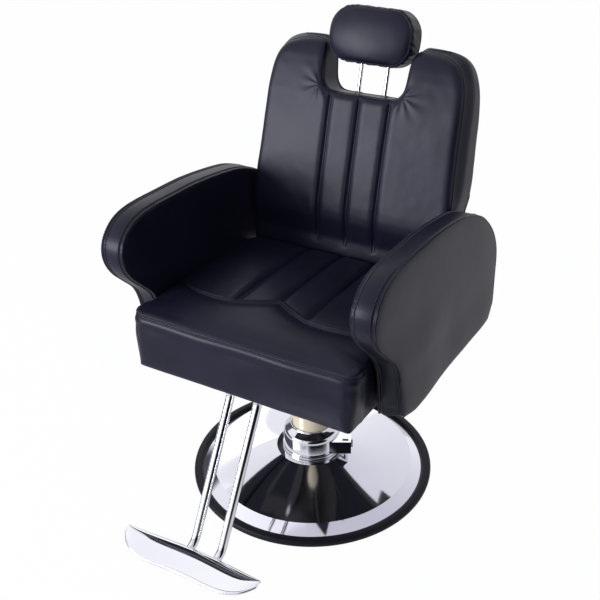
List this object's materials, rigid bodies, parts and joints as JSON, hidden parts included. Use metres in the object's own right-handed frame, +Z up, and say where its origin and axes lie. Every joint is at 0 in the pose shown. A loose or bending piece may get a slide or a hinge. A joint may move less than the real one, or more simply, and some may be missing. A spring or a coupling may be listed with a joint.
{
  "type": "hydraulic barber chair",
  "caption": "Reclining upholstered chair with arms, headrest and footrest on a foot-pumped swivelling lift and a weighted round base.",
  "frame": {"origin": "centre of the base on the floor, on the lift axis", "axes": "+Z up, the sitter faces -Y, the sitter's left is +X"},
  "size_m": [0.6525, 0.9079, 1.0639],
  "materials": {
    "rubber": "black rubber, matt",
    "chrome": "bright chrome plate",
    "steel": "black painted steel",
    "plated": "zinc plated steel",
    "pump_paint": "ivory enamel, semi-gloss",
    "bronze": "bearing bronze",
    "leather": "smooth near-black upholstery leather, semi-gloss",
    "wood": "birch plywood",
    "plastic": "black moulded plastic"
  },
  "bodies": {
    "base": {"base_trim": "rubber", "base_dish": "chrome", "base_ballast": "steel", "pump_foot_bolts": "plated", "pump_body": "pump_paint", "pump_collar": "chrome", "pump_cover": "chrome", "pump_gland": "plated", "rod_wiper": "rubber", "pedal_bracket": "chrome", "pedal_pin": "plated"},
    "pedal": {"pedal_lever": "chrome", "pedal_pad": "rubber"},
    "lift": {"piston_rod": "chrome", "piston_head": "plated", "piston_seal": "rubber", "swivel_washer": "bronze", "hub_bolt": "plated"},
    "back": {"back_bracket_left": "steel", "back_bracket_right": "steel", "recline_quadrant": "steel", "bracket_screws": "plated", "back_board": "wood", "back_cushion": "leather", "back_cover": "leather", "post_block": "plastic", "post_sleeve_left": "chrome", "post_sleeve_right": "chrome"},
    "headrest": {"headrest_post_left": "chrome", "headrest_post_right": "chrome", "headrest_core": "wood", "headrest_pad": "leather"},
    "clamp": {"clamp_lever": "chrome", "lever_grip": "plastic"},
    "seat": {"seat_hub": "plated", "hub_plate_bolts": "plated", "seat_frame": "steel", "seat_board": "wood", "seat_cushion": "leather", "arm_board_left": "wood", "arm_board_right": "wood", "arm_pad_left": "leather", "arm_pad_right": "leather", "arm_bolts": "plated", "arm_spacers": "plated", "hinge_plate_left": "steel", "hinge_plate_right": "steel", "hinge_bolts": "plated", "recline_pin_left": "plated", "recline_pin_right": "plated", "clamp_spacer": "plated", "clamp_washer": "plated", "lever_bushing": "plastic", "footrest_bracket": "steel", "footrest_tube_left": "chrome", "footrest_tube_right": "chrome", "tube_end_caps": "plastic", "foot_lugs": "steel", "foot_plate": "chrome", "foot_plate_bolts": "plated"}
  },
  "joints": [
    {"name": "pedal_pump", "type": "hinge", "parent": "base", "child": "pedal", "pos_m": [0.088, 0.008, 0.093], "axis": [-0.8829, -0.4695, 0], "range_deg": [0, 16], "stiffness_Nm_per_rad": 8, "springref_deg": -28.65},
    {"name": "lift_slide", "type": "slide", "parent": "base", "child": "lift", "axis": [0, 0, 1], "range_m": [0, 0.15]},
    {"name": "seat_swivel", "type": "hinge", "parent": "lift", "child": "seat", "pos_m": [0, 0, 0.33], "axis": [0, 0, 1], "continuous": true},
    {"name": "back_recline", "type": "hinge", "parent": "seat", "child": "back", "pos_m": [0, 0.20799, 0.42464], "axis": [-1, 0, 0], "range_deg": [0, 35]},
    {"name": "headrest_slide", "type": "slide", "parent": "back", "child": "headrest", "axis": [0, 0.2664, 0.9639], "range_m": [-0.055, 0.045]},
    {"name": "clamp_turn", "type": "hinge", "parent": "seat", "child": "clamp", "pos_m": [0, 0.16382, 0.3972], "axis": [-1, 0, 0], "range_deg": [0, 50]}
  ]
}
